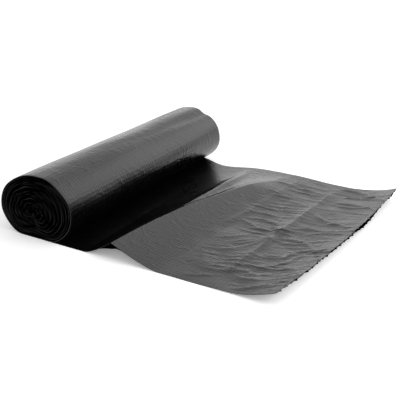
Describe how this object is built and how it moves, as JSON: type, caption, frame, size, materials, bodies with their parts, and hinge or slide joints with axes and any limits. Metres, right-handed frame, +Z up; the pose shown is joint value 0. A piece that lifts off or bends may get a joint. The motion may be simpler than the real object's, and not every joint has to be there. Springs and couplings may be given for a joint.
{
  "type": "bin bag roll",
  "caption": "Roll of plain black bin bags lying on its side, with the first bag pulled out from underneath and torn off along its perforation.",
  "frame": {"origin": "on the floor, under the middle of the roll's length and of its flat spot", "axes": "+X the way the film is pulled out, +Y along the roll, +Z up"},
  "size_m": [0.2838, 0.3, 0.057],
  "materials": {
    "black_film": "thin embossed black polythene film, semi-gloss"
  },
  "bodies": {
    "root": {"bag_roll": "black_film"}
  },
  "joints": []
}
